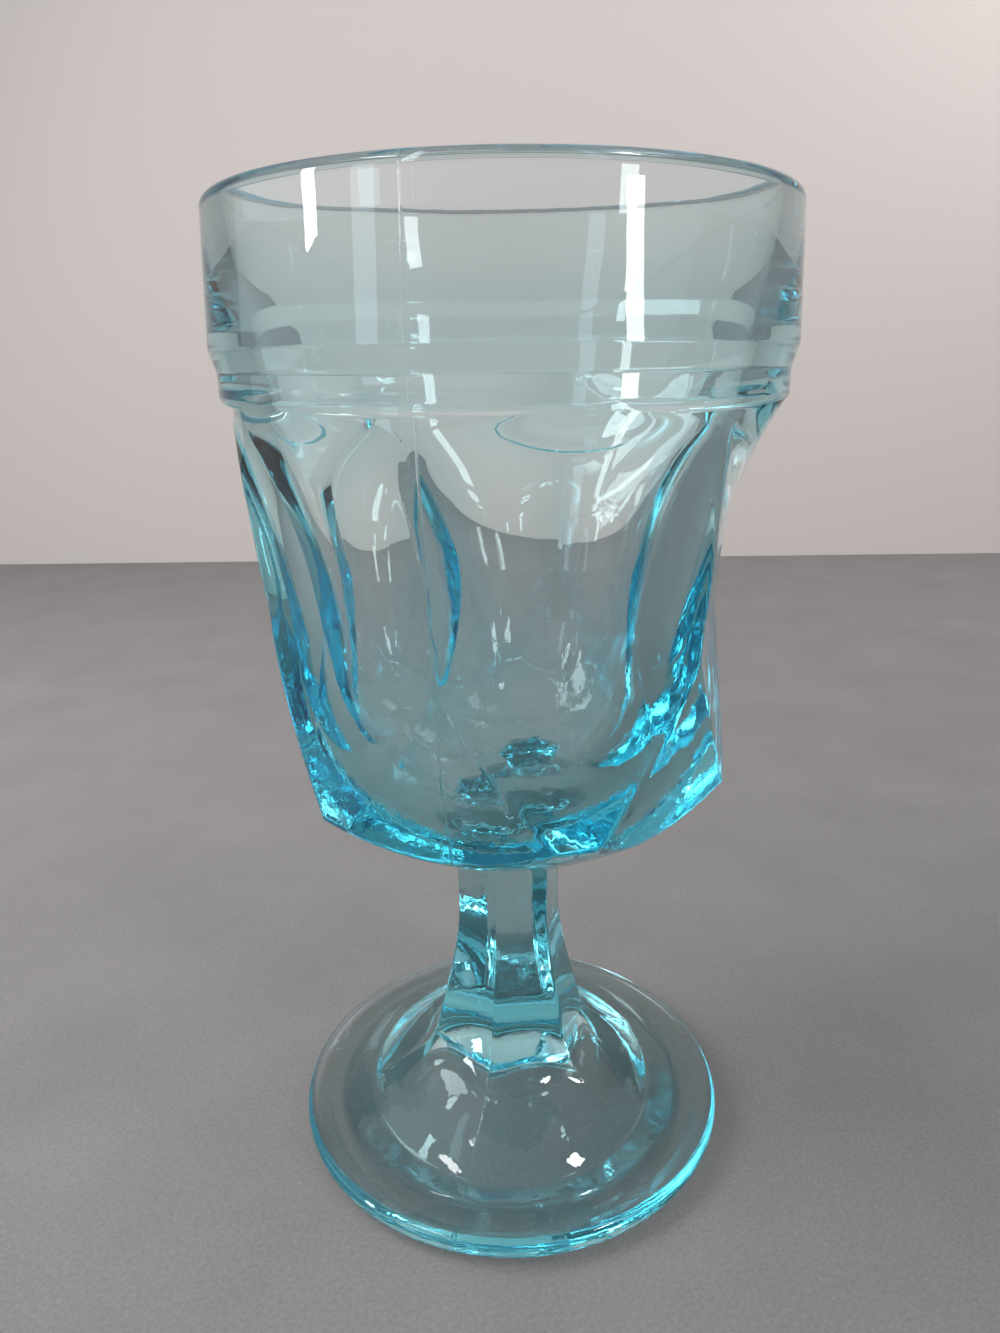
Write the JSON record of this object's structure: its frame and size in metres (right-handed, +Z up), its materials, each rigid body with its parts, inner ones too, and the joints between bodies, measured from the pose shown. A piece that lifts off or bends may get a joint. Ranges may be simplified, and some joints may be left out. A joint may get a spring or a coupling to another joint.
{
  "type": "water goblet",
  "caption": "Pressed glass goblet with a plain banded rim, arched flutes round the bowl, a faceted stem and a hollow domed round foot.",
  "frame": {"origin": "on the table, under the centre of the foot", "axes": "+Z up along the stem, -Y out through the middle of one flute"},
  "size_m": [0.0904, 0.0904, 0.165],
  "materials": {
    "pale_blue_glass": "polished"
  },
  "bodies": {
    "root": {"bowl": "pale_blue_glass", "stem": "pale_blue_glass", "foot": "pale_blue_glass"}
  },
  "joints": []
}
